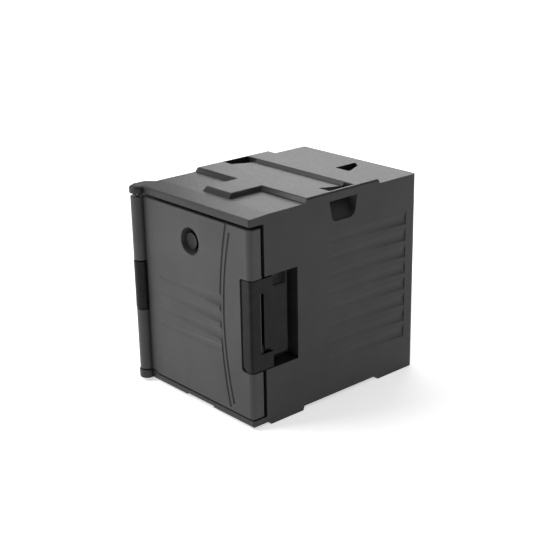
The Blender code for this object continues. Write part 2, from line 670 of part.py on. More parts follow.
def make_door():
    pieces = [make_door_shell(), finish(door_foam_form("door_foam", GAP, cutter=False), "foam")]
    u, v, radius = DOOR_PORT
    plug = turned("door_fill_plug",
                  [(0, 3), (radius - 3, 3), (radius - 2, 5), (radius, 5), (radius, 0), (0, 0)],
                  (u, v, DOOR_FOAM_Z[1] + 0.4), cutter=False)
    gasket = plate("door_gasket", ring(GASKET_OUTER, GASKET_WIDTH), "uz", *GASKET_V, cutter=False)
    pieces += [finish(plug, "nylon"), finish(gasket, "rubber")]
    for k, z in enumerate(COLUMN_Z):
        for end, low in (("bottom", z[0] + 0.2), ("top", z[1] - BUSH_L + 0.1)):
            name = "hinge_bush_" + ("lower", "upper")[k] + "_" + end
            bush = turned(name, [(BUSH_R, BUSH_L - 0.3), (BUSH_R, 0), (ROD_R + GAP, 0),
                                 (ROD_R + GAP, BUSH_L - 0.3)], (AXIS_U, AXIS_V, low), steps=24, closed=True,
                          cutter=False)
            pieces.append(finish(bush, "nylon"))
    sleeve = turned("vent_sleeve", [(FLANGE_R, -0.2), (FLANGE_R, -2), (SLEEVE_R, -2), (SLEEVE_R, -7.2),
                                    (7.2, -7.2), (7.2, -0.2)],
                    (VENT_U, VENT_FLOOR_V, VENT_Z), "front", closed=True, cutter=False)
    pieces.append(finish(sleeve, "nylon"))
    return pieces


def make_latch_base():
    """Nylon plate in the door's notch, with the two lugs that hold the latch's pin."""
    u, v = LATCH_AXIS
    base = block("latch_base", BASE_U, BASE_V, BASE_Z, cutter=False)
    for k, z in enumerate(LUG_Z):
        join(base, rod(f"lug_{k}", (u, v, z[0]), (u, v, z[1]), LATCH_KNUCKLE_R, sides=24),
             block(f"lug_web_{k}", (u - LATCH_KNUCKLE_R + 0.1, u + LATCH_KNUCKLE_R - 0.1),
                   (v, BASE_V[0] + 1), (z[0] + 0.2, z[1] - 0.2)))
    cut(base, rod("lug_bore", (u, v, 200), (u, v, 400), PIN_R + GAP, sides=24))
    pin = rod("latch_pin", (u, v, LUG_Z[0][0] + 0.5), (u, v, LUG_Z[1][1] - 0.5), PIN_R, sides=24,
              cutter=False)
    pieces = [base, pin]
    head = [(0, 1.6), (2.2, 1.6), (3.2, 0.8), (3.2, 0), (1.6, 0), (1.6, -10), (0, -11)]
    for k, z in enumerate(BASE_SCREWS):
        cut(base, rod("base_hole", (BASE_SCREW_U, 10, z), (BASE_SCREW_U, 25, z), 1.6 + GAP, sides=16))
        screw = turned(f"latch_base_screw_{k + 1}", head, (BASE_SCREW_U, BASE_V[0] - GAP, z), "front", 16,
                       cutter=False)
        pieces.append(finish(screw, "steel"))
    finish(base, "nylon")
    finish(pin, "steel")
    return pieces


# ---------------------------------------------------------------- latch and vent

def make_latch():
    u, v = LATCH_AXIS
    outer = BODY_W - 0.2
    inner = outer - LATCH_T
    leg_back = LATCH_FACE_V + LATCH_T
    plan = rounded([(LATCH_LEFT_U, LATCH_FACE_V, 2), (outer, LATCH_FACE_V, 8), (outer, LATCH_SIDE_V, 2),
                    (inner, LATCH_SIDE_V, 0), (inner, leg_back, 2), (LATCH_LEFT_U, leg_back, 2)])
    handle = plate("latch_handle", [plan], "uv", *LATCH_Z, cutter=False)
    front = rounded([(LATCH_LEFT_U - 1, LATCH_Z[0] - 1, 24), (LATCH_LEFT_U - 1, LATCH_Z[1] + 1, 8),
                     (outer + 5, LATCH_Z[1] + 1, 0), (outer + 5, LATCH_Z[0] - 1, 0)])
    combine(handle, [plate("front_outline", [front], "uz", -5, LATCH_SIDE_V + 10)], "INTERSECT")
    cut(handle, block("window", (inner - 5, outer + 5), (WINDOW_V[0], LATCH_SIDE_V + 5), WINDOW_Z))
    join(handle,
         block("bar_top", (LEAF_U[0], outer - 0.5), (WINDOW_V[1], LATCH_SIDE_V - 0.5),
               (WINDOW_Z[1] + 0.5, LATCH_Z[1] - 0.5), 1.5),
         block("bar_bottom", (LEAF_U[0], outer - 0.5), (WINDOW_V[1], LATCH_SIDE_V - 0.5),
               (LATCH_Z[0] + 0.5, WINDOW_Z[0] - 0.5), 1.5),
         block("leaf", (LEAF_U[0] + 0.5, LEAF_U[1]), LEAF_V, LEAF_Z, 2.0),
         block("leaf_rib", (453, LEAF_U[0] + 2), (101, 106), (LEAF_Z[0] + 40, LEAF_Z[1] - 40)),
         rod("latch_knuckle", (u, v, LATCH_KNUCKLE_Z[0]), (u, v, LATCH_KNUCKLE_Z[1]), LATCH_KNUCKLE_R,
             sides=24),
         block("knuckle_web", (u - LATCH_KNUCKLE_R + 0.1, u + LATCH_KNUCKLE_R - 0.1), (leg_back - 2, v),
               (LATCH_KNUCKLE_Z[0] + 0.2, LATCH_KNUCKLE_Z[1] - 0.2)))
    cut(handle, rod("knuckle_pin_bore", (u, v, 200), (u, v, 410), PIN_R + GAP, sides=24))
    return finish(handle, "nylon")


def make_vent():
    """Push-pull plug: a round knob on a flange, a stem in the sleeve and a sealing ring."""
    back = VENT_FLOOR_V - 2.5
    face = back - VENT_KNOB_V
    plug = turned("vent_plug", [(0, face), (VENT_KNOB_R - 2, face), (VENT_KNOB_R, face - 2),
                                (VENT_KNOB_R, 3), (27, 3), (28.5, 1.5), (28.5, 0), (6.9, 0), (6.9, -9),
                                (0, -9)], (VENT_U, back, VENT_Z), "front", cutter=False)
    around = [math.tau * (0.25 - k / 10) for k in range(10)]
    seal = turned("vent_o_ring", [(12 + math.cos(a), math.sin(a)) for a in around],
                  (VENT_U, back + 1.2, VENT_Z), "front", closed=True, cutter=False)
    return [finish(plug, "nylon"), finish(seal, "rubber")]


def main():
    door_axis = pivot("door_axis", (AXIS_U, AXIS_V, 0))
    latch_axis = pivot("latch_axis", (*LATCH_AXIS, 0), door_axis)
    vent_axis = pivot("vent_axis", (VENT_U, VENT_FLOOR_V, VENT_Z), door_axis)
    finish(make_body(), "shell")
    make_body_parts()
    make_middle_bracket()
    make_keeper()
    hang(door_axis, *make_door(), *make_latch_base())
    hang(latch_axis, make_latch())
    hang(vent_axis, *make_vent())


main()
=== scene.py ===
# %% [markdown]
# # An insulated food carrier
# A caterer's front-loading hot box: a moulded body full of foam, a thick side-hinged door, a tall
# snap latch round the door's free corner and a push-pull vent. The engineering model is loaded
# first and stays as it is. Around it we build the fine surfaces and the plastics that they are
# moulded in.

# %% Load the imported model
import json
import math

import bmesh
import bpy
from mathutils import Matrix, Vector


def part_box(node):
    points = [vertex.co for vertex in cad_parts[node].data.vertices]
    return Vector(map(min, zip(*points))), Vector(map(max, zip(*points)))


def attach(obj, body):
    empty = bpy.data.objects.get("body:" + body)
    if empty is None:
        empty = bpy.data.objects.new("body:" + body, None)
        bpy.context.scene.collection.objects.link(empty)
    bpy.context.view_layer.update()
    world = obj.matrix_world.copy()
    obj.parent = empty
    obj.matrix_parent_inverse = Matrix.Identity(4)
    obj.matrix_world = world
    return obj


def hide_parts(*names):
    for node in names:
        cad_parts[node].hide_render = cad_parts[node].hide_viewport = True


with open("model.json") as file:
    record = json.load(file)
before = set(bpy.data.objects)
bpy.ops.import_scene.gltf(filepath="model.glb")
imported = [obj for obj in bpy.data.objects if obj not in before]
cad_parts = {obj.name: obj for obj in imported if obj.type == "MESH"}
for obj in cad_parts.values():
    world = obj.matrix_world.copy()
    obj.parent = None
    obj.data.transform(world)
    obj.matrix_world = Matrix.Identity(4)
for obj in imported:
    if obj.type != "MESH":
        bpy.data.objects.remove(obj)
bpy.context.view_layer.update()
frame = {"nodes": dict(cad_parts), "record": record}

print("nodes:", len(frame["nodes"]))

# %% [markdown]
# ## A ruler for the carrier
# A maker measures a box like this from its left wall, from the door's face and from the floor, so
# places are written here as (u, v, z) in millimetres. Only the two corners that tie this ruler to
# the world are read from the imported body, and everything else follows.

# %% Places in millimetres
MM = 0.001
GAP = 0.3
BODY_W = 475.0
BODY_D = 650.0
BODY_H = 625.0
DECK_Z = 612.0
body_low, body_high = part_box("body_shell")
LEFT_X = body_high.x - BODY_W * MM
FRONT_Y = body_high.y - BODY_D * MM


def at(u, v, z):
    return Vector((LEFT_X + u * MM, FRONT_Y + v * MM, z * MM))


print("left wall at x =", round(LEFT_X, 4), "and door face at y =", round(FRONT_Y, 4))

# %% [markdown]
# ## Outlines with round corners
# A mould has no sharp corners, because plastic thins out in them. So every outline is a short list
# of corners, each with its own radius, and one function swaps each corner for an arc.

# %% Outlines
ARC_STEPS = 6


def rounded(corners, steps=ARC_STEPS):
    """Outline through corners of (x, y, radius), with an arc at each corner that has a radius."""
    points = []
    for i, (x, y, radius) in enumerate(corners):
        here = Vector((x, y))
        if radius <= 0:
            points.append((x, y))
            continue
        back = (Vector(corners[i - 1][:2]) - here).normalized()
        ahead = (Vector(corners[(i + 1) % len(corners)][:2]) - here).normalized()
        half = back.angle(ahead) / 2
        centre = here + (back + ahead).normalized() * radius / math.sin(half)
        first = here + back * radius / math.tan(half) - centre
        last = here + ahead * radius / math.tan(half) - centre
        sweep = first.angle_signed(last)
        for k in range(steps + 1):
            points.append(tuple(centre + Matrix.Rotation(-sweep * k / steps, 2) @ first))
    return points


PLANES = {
    "uv": lambda x, y, depth: at(x, y, depth),
    "vz": lambda x, y, depth: at(depth, x, y),
    "uz": lambda x, y, depth: at(x, depth, y),
}
print("planes:", sorted(PLANES))

# %% [markdown]
# ## Basic solids from bmesh
# Four shapes carry the whole model: a slab, which is an outline pushed through a thickness, a box
# with bevelled edges, a rod, and a turned form, which is a profile spun about an axis. Each one
# starts from a create operator or a few vertices and is finished by extrude, bevel or spin.

# %% Slab, box, rod and turned form
def slab(outline, plane, start, end):
    """An outline in a plane, extruded between two values of the third coordinate."""
    bm = bmesh.new()
    place = PLANES[plane]
    verts = [bm.verts.new(place(x, y, start)) for x, y in outline]
    edges = [bm.edges.new(pair) for pair in zip(verts, verts[1:] + verts[:1])]
    face = bmesh.ops.contextual_create(bm, geom=edges)
    pushed = bmesh.ops.extrude_face_region(bm, geom=face["faces"])
    moved = [g for g in pushed["geom"] if isinstance(g, bmesh.types.BMVert)]
    bmesh.ops.translate(bm, verts=moved, vec=place(0, 0, end) - place(0, 0, start))
    bmesh.ops.recalc_face_normals(bm, faces=bm.faces)
    return bm


def box(u, v, z, round_by=0.0, segments=3):
    """A box between two values of u, v and z, with every edge rounded by round_by."""
    low, high = at(u[0], v[0], z[0]), at(u[1], v[1], z[1])
    bm = bmesh.new()
    bmesh.ops.create_cube(bm, size=1.0)
    bmesh.ops.scale(bm, vec=high - low, verts=bm.verts)
    bmesh.ops.translate(bm, vec=(low + high) / 2, verts=bm.verts)
    if round_by:
        bmesh.ops.bevel(bm, geom=bm.edges[:], offset=round_by * MM, offset_type="OFFSET",
                        segments=segments, profile=0.5, affect="EDGES", material=-1)
    return bm


def rod(start, end, radius, sides=48):
    """A cylinder between two points."""
    low, high = at(*start), at(*end)
    along = high - low
    turn = along.to_track_quat("Z", "Y").to_matrix().to_4x4()
    bm = bmesh.new()
    bmesh.ops.create_cone(bm, cap_ends=True, segments=sides, radius1=radius * MM, radius2=radius * MM,
                          depth=along.length, matrix=Matrix.Translation((low + high) / 2) @ turn)
    return bm


FACING = {"up": (0, "X"), "front": (90, "X"), "back": (-90, "X")}


def turned(profile, place, faces="up", steps=48, closed=False):
    """A profile of (radius, height) points, spun once round an axis that points the given way."""
    bm = bmesh.new()
    verts = [bm.verts.new((r * MM, 0.0, h * MM)) for r, h in profile]
    pairs = list(zip(verts, verts[1:])) + ([(verts[-1], verts[0])] if closed else [])
    edges = [bm.edges.new(pair) for pair in pairs]
    bmesh.ops.spin(bm, geom=verts + edges, cent=(0, 0, 0), axis=(0, 0, 1), angle=math.tau,
                   steps=steps, use_merge=True)
    bmesh.ops.remove_doubles(bm, verts=bm.verts, dist=0.00001)
    angle, axis = FACING[faces]
    turn = Matrix.Rotation(math.radians(angle), 4, axis)
    bmesh.ops.transform(bm, matrix=Matrix.Translation(at(*place)) @ turn, verts=bm.verts)
    bmesh.ops.recalc_face_normals(bm, faces=bm.faces)
    return bm


print("a 10 mm box has", len(box((0, 10), (0, 10), (0, 10), 1.0).verts), "points")

# %% [markdown]
# ## Adding and taking away
# A moulded shape is mostly a big form with smaller ones joined on and hollows taken out. Boolean
# modifiers do that. They need real objects, so each form becomes one for a moment, the result is
# read back as a plain mesh and the helpers are thrown away.

# %% Joining and cutting
def temporary(bm, name="form"):
    mesh = bpy.data.meshes.new(name)
    bm.to_mesh(mesh)
    bm.free()
    obj = bpy.data.objects.new(name, mesh)
    bpy.context.scene.collection.objects.link(obj)
    return obj


def carved(base, *steps):
    """The base form after each (operation, form) step: UNION, DIFFERENCE or INTERSECT."""
    target = temporary(base)
    helpers = []
    for operation, form in steps:
        helper = temporary(form)
        helper.hide_render = True
        boolean = target.modifiers.new(operation, "BOOLEAN")
        boolean.operation = operation
        boolean.solver = "EXACT"
        boolean.object = helper
        helpers.append(helper)
    bpy.context.view_layer.update()
    result = bpy.data.meshes.new_from_object(target.evaluated_get(bpy.context.evaluated_depsgraph_get()))
    bm = bmesh.new()
    bm.from_mesh(result)
    bpy.data.meshes.remove(result)
    for obj in [target, *helpers]:
        mesh = obj.data
        bpy.data.objects.remove(obj, do_unlink=True)
        bpy.data.meshes.remove(mesh)
    return bm


def together(*forms):
    """Several forms that don't touch, as one."""
    bm = bmesh.new()
    for form in forms:
        mesh = bpy.data.meshes.new("part")
        form.to_mesh(mesh)
        form.free()
        bm.from_mesh(mesh)
        bpy.data.meshes.remove(mesh)
    return bm


def cad_copy(node, grow=0.0):
    """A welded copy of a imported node, pushed outwards by grow."""
    bm = bmesh.new()
    bm.from_mesh(frame["nodes"][node].data)
    bmesh.ops.remove_doubles(bm, verts=bm.verts, dist=0.00001)
    bm.normal_update()
    for vert in bm.verts:
        vert.co += vert.normal * grow * MM
    return bm


def softened(bm, rim, angle=38):
    """The form with every rim sharper than the angle rounded off, as a mould does."""
    bm.normal_update()
    sharp = [e for e in bm.edges if len(e.link_faces) == 2
             and e.calc_face_angle(0.0) > math.radians(angle) and e.calc_length() > 2.2 * rim * MM]
    bmesh.ops.bevel(bm, geom=sharp, offset=rim * MM, offset_type="OFFSET", segments=2,
                    profile=0.5, affect="EDGES", clamp_overlap=True, material=-1)
    bmesh.ops.remove_doubles(bm, verts=bm.verts, dist=0.00001)
    return bm


def piece(name, bm, body, material, replaced, angle=38):
    """Finish a form as a named piece: shaded smooth and riding on its body."""
    mesh = bpy.data.meshes.new(name)
    bm.to_mesh(mesh)
    bm.free()
    obj = bpy.data.objects.new(name, mesh)
    bpy.context.scene.collection.objects.link(obj)
    mesh.shade_smooth()
    mesh.set_sharp_from_angle(angle=math.radians(angle))
    weighted = obj.modifiers.new("flat_faces", "WEIGHTED_NORMAL")
    weighted.keep_sharp = True
    weighted.weight = 80
    mesh.materials.append(material)
    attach(obj, body)
    if replaced:
        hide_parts(*replaced)
    print(name, "-", len(mesh.polygons), "faces")
    return obj


# %% [markdown]
# ## Plastics and metals
# One function adds a node with its settings and links. Colours are written as the sRGB hex values
# that a colour picker shows, and turned to linear light once. Pattern scales are worked out from a
# size in millimetres: a noise texture on Object coordinates, which are metres, has one feature for
# each 1 / scale metres.

# %% Material helpers
def colour(hex_value):
    values = [int(hex_value[i:i + 2], 16) / 255 for i in (0, 2, 4)]
    return [c / 12.92 if c <= 0.04045 else ((c + 0.055) / 1.055) ** 2.4 for c in values] + [1.0]


def per_mm(size):
    """Texture scale that gives one feature every size millimetres."""
    return 1.0 / (size * MM)


def add(tree, kind, settings=None, **links):
    """Add a node; settings are values of inputs or properties, links are sockets to read from."""
    node = tree.nodes.new(kind)
    for key, value in (settings or {}).items():
        if key in node.inputs:
            node.inputs[key].default_value = value
        else:
            setattr(node, key, value)
    for key, source in links.items():
        tree.links.new(source, node.inputs[key.replace("_", " ")])
    return node


def new_material(name, base, roughness, metallic=0.0, ior=1.5, gloss=0.5):
    material = bpy.data.materials.new(name)
    material.use_nodes = True
    material.diffuse_color = colour(base)
    tree = material.node_tree
    shader = tree.nodes["Principled BSDF"]
    shader.inputs["Base Color"].default_value = colour(base)
    shader.inputs["Roughness"].default_value = roughness
    shader.inputs["Metallic"].default_value = metallic
    shader.inputs["IOR"].default_value = ior
    shader.inputs["Specular IOR Level"].default_value = gloss
    place = add(tree, "ShaderNodeTexCoord").outputs["Object"]
    return material, tree, shader, place


def ramp(tree, source, stops):
    node = add(tree, "ShaderNodeValToRGB", Fac=source)
    for element, (position, value) in zip(node.color_ramp.elements, stops):
        element.position = position
        element.color = colour(value) if isinstance(value, str) else (value, value, value, 1.0)
    return node.outputs["Color"]


print("linear value of mid grey:", round(colour("808080")[0], 3))

# %% [markdown]
# ## Rotomoulded polyethylene
# The shell is polyethylene powder melted onto the wall of a turning mould. The outside copies the
# mould's blasted skin, so it has a fine, even grain, and it pulls in a little as it cools, so large
# faces are never quite flat. Polyethylene is waxy: soft, broad highlights, slightly uneven where
# hands and other boxes have rubbed it. The grain is really about 0.3 mm; it is drawn at 1.4 mm so
# that it shows.

# %% Polyethylene of the shells
def polyethylene(name, base, worn, roughness):
    material, tree, shader, place = new_material(name, base, roughness, ior=1.5, gloss=0.36)
    cloud = add(tree, "ShaderNodeTexNoise", {"Scale": per_mm(120), "Detail": 4.0}, Vector=place)
    tone = ramp(tree, cloud.outputs["Fac"], [(0.3, base), (0.75, worn)])
    scuff = add(tree, "ShaderNodeTexNoise", {"Scale": per_mm(9), "Detail": 8.0, "Roughness": 0.75,
                                            "Distortion": 1.5}, Vector=place)
    scuffed = ramp(tree, scuff.outputs["Fac"], [(0.60, 0.0), (0.80, 1.0)])
    mixed = add(tree, "ShaderNodeMix", {"data_type": "RGBA"})
    tree.links.new(scuffed, mixed.inputs["Factor"])
    tree.links.new(tone, mixed.inputs["A"])
    mixed.inputs["B"].default_value = colour(worn)
    tree.links.new(mixed.outputs["Result"], shader.inputs["Base Color"])
    uneven = add(tree, "ShaderNodeMapRange", {"From Min": 0.3, "From Max": 0.7, "To Min": roughness - 0.06,
                                              "To Max": roughness + 0.08}, Value=scuff.outputs["Fac"])
    tree.links.new(uneven.outputs["Result"], shader.inputs["Roughness"])
    grain = add(tree, "ShaderNodeTexNoise", {"Scale": per_mm(1.4), "Detail": 3.0}, Vector=place)
    skin = add(tree, "ShaderNodeBump", {"Strength": 0.16, "Distance": 0.00025}, Height=grain.outputs["Fac"])
    sink = add(tree, "ShaderNodeTexNoise", {"Scale": per_mm(90), "Detail": 1.0}, Vector=place)
    wave = add(tree, "ShaderNodeBump", {"Strength": 0.35, "Distance": 0.0012}, Height=sink.outputs["Fac"],
               Normal=skin.outputs["Normal"])
    tree.links.new(wave.outputs["Normal"], shader.inputs["Normal"])
    return material


SHELL = polyethylene("rotomoulded_polyethylene_charcoal", "212122", "2a2a2b", 0.44)
# The door is the same charcoal polyethylene as the body. Its lighter base and worn colours are painted light,
# standing in for the light that falls on the door's face.
DOOR_PE_PAINTED_LIGHT = polyethylene("rotomoulded_polyethylene_door_painted_light", "323233", "3c3c3d", 0.44)

# %% [markdown]
# ## Moulded nylon, silicone, steel and foam
# The latch and the middle hinge knuckle are injection-moulded nylon filled with glass: darker than
# the shells, with a tight spark-eroded grain and a soft sheen. The gasket is silicone rubber, dull
# and a little dusty. The rod and the screws are stainless steel, brushed along their length. The
# filling is rigid polyurethane foam, whose cut face shows small cells.

# %% Nylon, silicone, steel and foam
def nylon(name, base, roughness):
    material, tree, shader, place = new_material(name, base, roughness, ior=1.53, gloss=0.14)
    cloud = add(tree, "ShaderNodeTexNoise", {"Scale": per_mm(30), "Detail": 5.0}, Vector=place)
    rubbed = add(tree, "ShaderNodeMapRange", {"From Min": 0.35, "From Max": 0.7, "To Min": roughness + 0.05,
                                              "To Max": roughness - 0.08}, Value=cloud.outputs["Fac"])
    tree.links.new(rubbed.outputs["Result"], shader.inputs["Roughness"])
    tone = ramp(tree, cloud.outputs["Fac"], [(0.35, base), (0.8, "121213")])
    tree.links.new(tone, shader.inputs["Base Color"])
    grain = add(tree, "ShaderNodeTexNoise", {"Scale": per_mm(0.9), "Detail": 2.0}, Vector=place)
    skin = add(tree, "ShaderNodeBump", {"Strength": 0.14, "Distance": 0.0002}, Height=grain.outputs["Fac"])
    tree.links.new(skin.outputs["Normal"], shader.inputs["Normal"])
    return material


def silicone(name):
    material, tree, shader, place = new_material(name, "1d1d1e", 0.72, ior=1.43)
    dust = add(tree, "ShaderNodeTexNoise", {"Scale": per_mm(14), "Detail": 6.0}, Vector=place)
    tree.links.new(ramp(tree, dust.outputs["Fac"], [(0.45, "1b1b1c"), (0.85, "343432")]),
                   shader.inputs["Base Color"])
    skin = add(tree, "ShaderNodeBump", {"Strength": 0.1, "Distance": 0.0003}, Height=dust.outputs["Fac"])
    tree.links.new(skin.outputs["Normal"], shader.inputs["Normal"])
    return material


def brushed_steel(name):
    material, tree, shader, place = new_material(name, "c3c5c8", 0.3, metallic=1.0)
    stretched = add(tree, "ShaderNodeMapping", {"Scale": (1.0, 1.0, 0.03)}, Vector=place)
    lines = add(tree, "ShaderNodeTexNoise", {"Scale": per_mm(0.6), "Detail": 4.0},
                Vector=stretched.outputs["Vector"])
    streak = add(tree, "ShaderNodeMapRange", {"To Min": 0.22, "To Max": 0.42}, Value=lines.outputs["Fac"])
    tree.links.new(streak.outputs["Result"], shader.inputs["Roughness"])
    tree.links.new(ramp(tree, lines.outputs["Fac"], [(0.3, "aeb0b4"), (0.7, "cfd1d3")]),
                   shader.inputs["Base Color"])
    skin = add(tree, "ShaderNodeBump", {"Strength": 0.08, "Distance": 0.0001}, Height=lines.outputs["Fac"])
    tree.links.new(skin.outputs["Normal"], shader.inputs["Normal"])
    return material


def rigid_foam(name):
    material, tree, shader, place = new_material(name, "d8c79a", 0.9)
    cells = add(tree, "ShaderNodeTexVoronoi", {"Scale": per_mm(2.5)}, Vector=place)
    tree.links.new(ramp(tree, cells.outputs["Distance"], [(0.1, "b79f63"), (0.6, "dccca2")]),
                   shader.inputs["Base Color"])
    skin = add(tree, "ShaderNodeBump", {"Strength": 0.5, "Distance": 0.0006},
               Height=cells.outputs["Distance"])
    tree.links.new(skin.outputs["Normal"], shader.inputs["Normal"])
    return material


NYLON = nylon("moulded_nylon_black", "0b0b0c", 0.36)
RUBBER = silicone("silicone_rubber_black")
STEEL = brushed_steel("brushed_stainless_steel")
FOAM = rigid_foam("rigid_polyurethane_foam")

# %% [markdown]
# ## Finishes of the parts that keep their engineering shape
# Screws, bushes, plugs and the foam are right as they are, so they only get a real finish in place
# of the plain one.

# %% Finishes by node
FINISHES = {"foam": FOAM, "rubber": RUBBER, "steel": STEEL, "nylon": NYLON, "shell": SHELL}
slots = {entry["node"]: entry["material_slot"] for entry in frame["record"]["subparts"]}
for node, obj in frame["nodes"].items():
    finish = FINISHES[slots[node].rsplit("_", 1)[1]]
    for material_slot in obj.material_slots:
        material_slot.material = finish
print({node: slot.rsplit("_", 1)[1] for node, slot in list(slots.items())[:4]})

# %% [markdown]
# ## The body's outside
# Seen from the side, the body is a box with a raised band on top, a lip and a sill that reach over
# and under the door, and a channel under its base, into which the band of another carrier fits.
# One side outline holds all of that. Crossing it with a plan outline and a front outline gives the
# upright corners and the long top edges their own, larger radii.

# %% Body outline
RIM_V = 51.0
LIP_Z = 587.0
LIP_FRONT_Z = 608.5
SILL_Z = (10.0, 28.0)
BAND_V = (200.0, 486.0)
FOOT_V = (60.0, 188.0, 494.0)
CHANNEL_Z = 12.6
STEM_U = (178.0, 297.0)
STEM_V = (83.0, 97.0)


def body_outline():
    side = rounded([
        (0, SILL_Z[0], 3), (FOOT_V[0], SILL_Z[0], 0), (FOOT_V[0] + 5, 0, 2),
        (FOOT_V[1], 0, 2), (FOOT_V[1] + 4, CHANNEL_Z, 2), (FOOT_V[2] - 4, CHANNEL_Z, 2),
        (FOOT_V[2], 0, 2), (BODY_D, 0, 7), (BODY_D, DECK_Z, 8),
        (BAND_V[1] + 6, DECK_Z, 3), (BAND_V[1] - 1, BODY_H, 3.5), (BAND_V[0] + 9, BODY_H, 4),
        (BAND_V[0], DECK_Z, 2.5), (70, DECK_Z, 25), (0, LIP_FRONT_Z, 5),
        (0, LIP_Z, 3), (RIM_V, LIP_Z, 2), (RIM_V, SILL_Z[1], 2), (0, SILL_Z[1], 3),
    ])
    plan = rounded([(0, -1, 0), (BODY_W, -1, 7), (BODY_W, BODY_D, 17), (0, BODY_D, 17)], steps=8)
    front = rounded([(0, -1, 0), (BODY_W, -1, 0), (BODY_W, BODY_H, 6), (0, BODY_H, 6)])
    return carved(slab(side, "vz", 0, BODY_W),
                  ("INTERSECT", slab(plan, "uv", -5, BODY_H + 5)),
                  ("INTERSECT", slab(front, "uz", -5, BODY_D + 5)))


def stem():
    """The T's stem, which runs forward from the band and slopes down at its foot."""
    side = rounded([(STEM_V[0], DECK_Z - 1, 0), (STEM_V[1], BODY_H, 4), (BAND_V[0] + 12, BODY_H, 0),
                    (BAND_V[0] + 12, DECK_Z - 1, 0)])
    across = rounded([(STEM_U[0], DECK_Z - 2, 0), (STEM_U[1], DECK_Z - 2, 0),
                      (STEM_U[1] - 7, BODY_H, 4), (STEM_U[0] + 7, BODY_H, 4)])
    return carved(slab(side, "vz", STEM_U[0] - 2, STEM_U[1] + 2),
                  ("INTERSECT", slab(across, "uz", STEM_V[0] - 5, BAND_V[0] + 20)))


body = body_outline()
print("outline faces:", len(body.faces))

# %% [markdown]
# ## Hinge ends and the raised corner of the sill
# The hinge rod stands in two round bosses, one moulded to the lip and one to the sill. Each has an
# ear that fairs it into the body. The upper boss has a soft dome. By the lower one the sill steps
# up and then slopes down to its normal height.

# %% Hinge ends
AXIS_U = -13.0
AXIS_V = -3.0
BOSS_R = 24.0
BOSS_LOW_Z = (10.0, 36.0)
BOSS_HIGH_Z = (LIP_Z, 608.5)
EAR_V = (40.0, 72.0)


def hinge_end(z, dome):
    height = z[1] - z[0]
    crown = [(BOSS_R - 10, height), (BOSS_R - 4, height - 1.2), (BOSS_R - 1.2, height - 3.6),
             (BOSS_R, height - 7)] if dome else [(BOSS_R - 2, height), (BOSS_R - 0.6, height - 0.6),
                                                 (BOSS_R, height - 2)]
    foot = [(BOSS_R, 1.6), (BOSS_R - 0.5, 0.5), (BOSS_R - 1.6, 0)]
    boss = turned([(0, height), *crown, *foot, (0, 0)], (AXIS_U, AXIS_V, z[0]), steps=64)
    side = AXIS_U - BOSS_R + 1.5
    top = z[1] - 0.4 if dome else SILL_Z[1] - 0.4
    ear = rounded([(side, AXIS_V, 0), (AXIS_U + 15, AXIS_V + 3.2, 0), (30, 3.2, 0), (30, EAR_V[1], 0),
                   (0, EAR_V[1], 0), (side, EAR_V[0], 8)])
    return boss, slab(ear, "uv", z[0] + 0.2, top)


def raised_sill():
    left, low, high = AXIS_U - BOSS_R + 2.5, SILL_Z[0] + 1, BOSS_LOW_Z[1] - 0.4
    outline = rounded([(left, low, 0), (46, low, 0), (46, SILL_Z[1] - 0.3, 0), (29, high, 3),
                       (left, high, 0)])
    return slab(outline, "uz", AXIS_V + 3.4, 26)


high_boss, high_ear = hinge_end(BOSS_HIGH_Z, dome=True)
low_boss, low_ear = hinge_end(BOSS_LOW_Z, dome=False)
body = carved(body, ("UNION", stem()), ("UNION", high_boss), ("UNION", high_ear), ("UNION", low_boss),
              ("UNION", low_ear), ("UNION", raised_sill()))
print("with hinge ends:", len(body.faces))

# %% [markdown]
# ## Hand holds, valley and scoop
# Fingers go in at the side under a thick bar and come up through the band, so each hold is one
# slanted passage with round corners. Behind the front half of the band a shallow valley runs from
# hold to hold, and the rear deck has a small wedge-shaped scoop.

# %% Hollows in the top
HOLD_V = (300.0, 398.0)
HOLD_BAR = 9.0
HOLD_BAR_Z = 598.0
HOLD_DEEP_U = 50.0
HOLD_RAMP_Z = (529.0, 604.0)
HOLD_FOOT_Z = 537.0
HOLD_OUTSIDE = 20.0
HOLD_RAMP_FALL = 29.4
VALLEY_Z = 614.0


def hand_hold(side):
    """Passage of a hand hold: a section across the body, crossed with a round-cornered side view."""
    section = [(-HOLD_OUTSIDE, HOLD_RAMP_Z[0] - HOLD_RAMP_FALL, 0), (-HOLD_OUTSIDE, HOLD_BAR_Z, 0),
               (HOLD_BAR, HOLD_BAR_Z, 3),
               (HOLD_BAR, BODY_H + 20.0, 0), (HOLD_DEEP_U, BODY_H + 20.0, 0),
               (HOLD_DEEP_U, HOLD_RAMP_Z[1], 6)]
    if side == "right":
        section = [(BODY_W - u, z, r) for u, z, r in reversed(section)]
    view = rounded([(HOLD_V[0] - 9, HOLD_BAR_Z + 1, 0), (HOLD_V[0] + 4, HOLD_FOOT_Z, 18),
                    (HOLD_V[1] - 8, HOLD_FOOT_Z, 24), (HOLD_V[1] + 3, HOLD_BAR_Z + 1, 0),
                    (HOLD_V[1], HOLD_BAR_Z + 1, 0), (HOLD_V[1], 700, 0), (HOLD_V[0], 700, 0),
                    (HOLD_V[0], HOLD_BAR_Z + 1, 0)], steps=8)
    hold = slab(rounded(section), "uz", HOLD_V[0] - 12, HOLD_V[1] + 6)
    edge = (-30.0, HOLD_DEEP_U + 10) if side == "left" else (BODY_W - HOLD_DEEP_U - 10, BODY_W + 30)
    return carved(hold, ("INTERSECT", slab(view, "vz", *edge)))


def valley():
    outline = [(HOLD_V[0], BODY_H + 0.5), (HOLD_V[1] - 6, VALLEY_Z), (HOLD_V[1] + 2, BODY_H + 0.5)]
    return slab(outline, "vz", HOLD_BAR, BODY_W - HOLD_BAR)


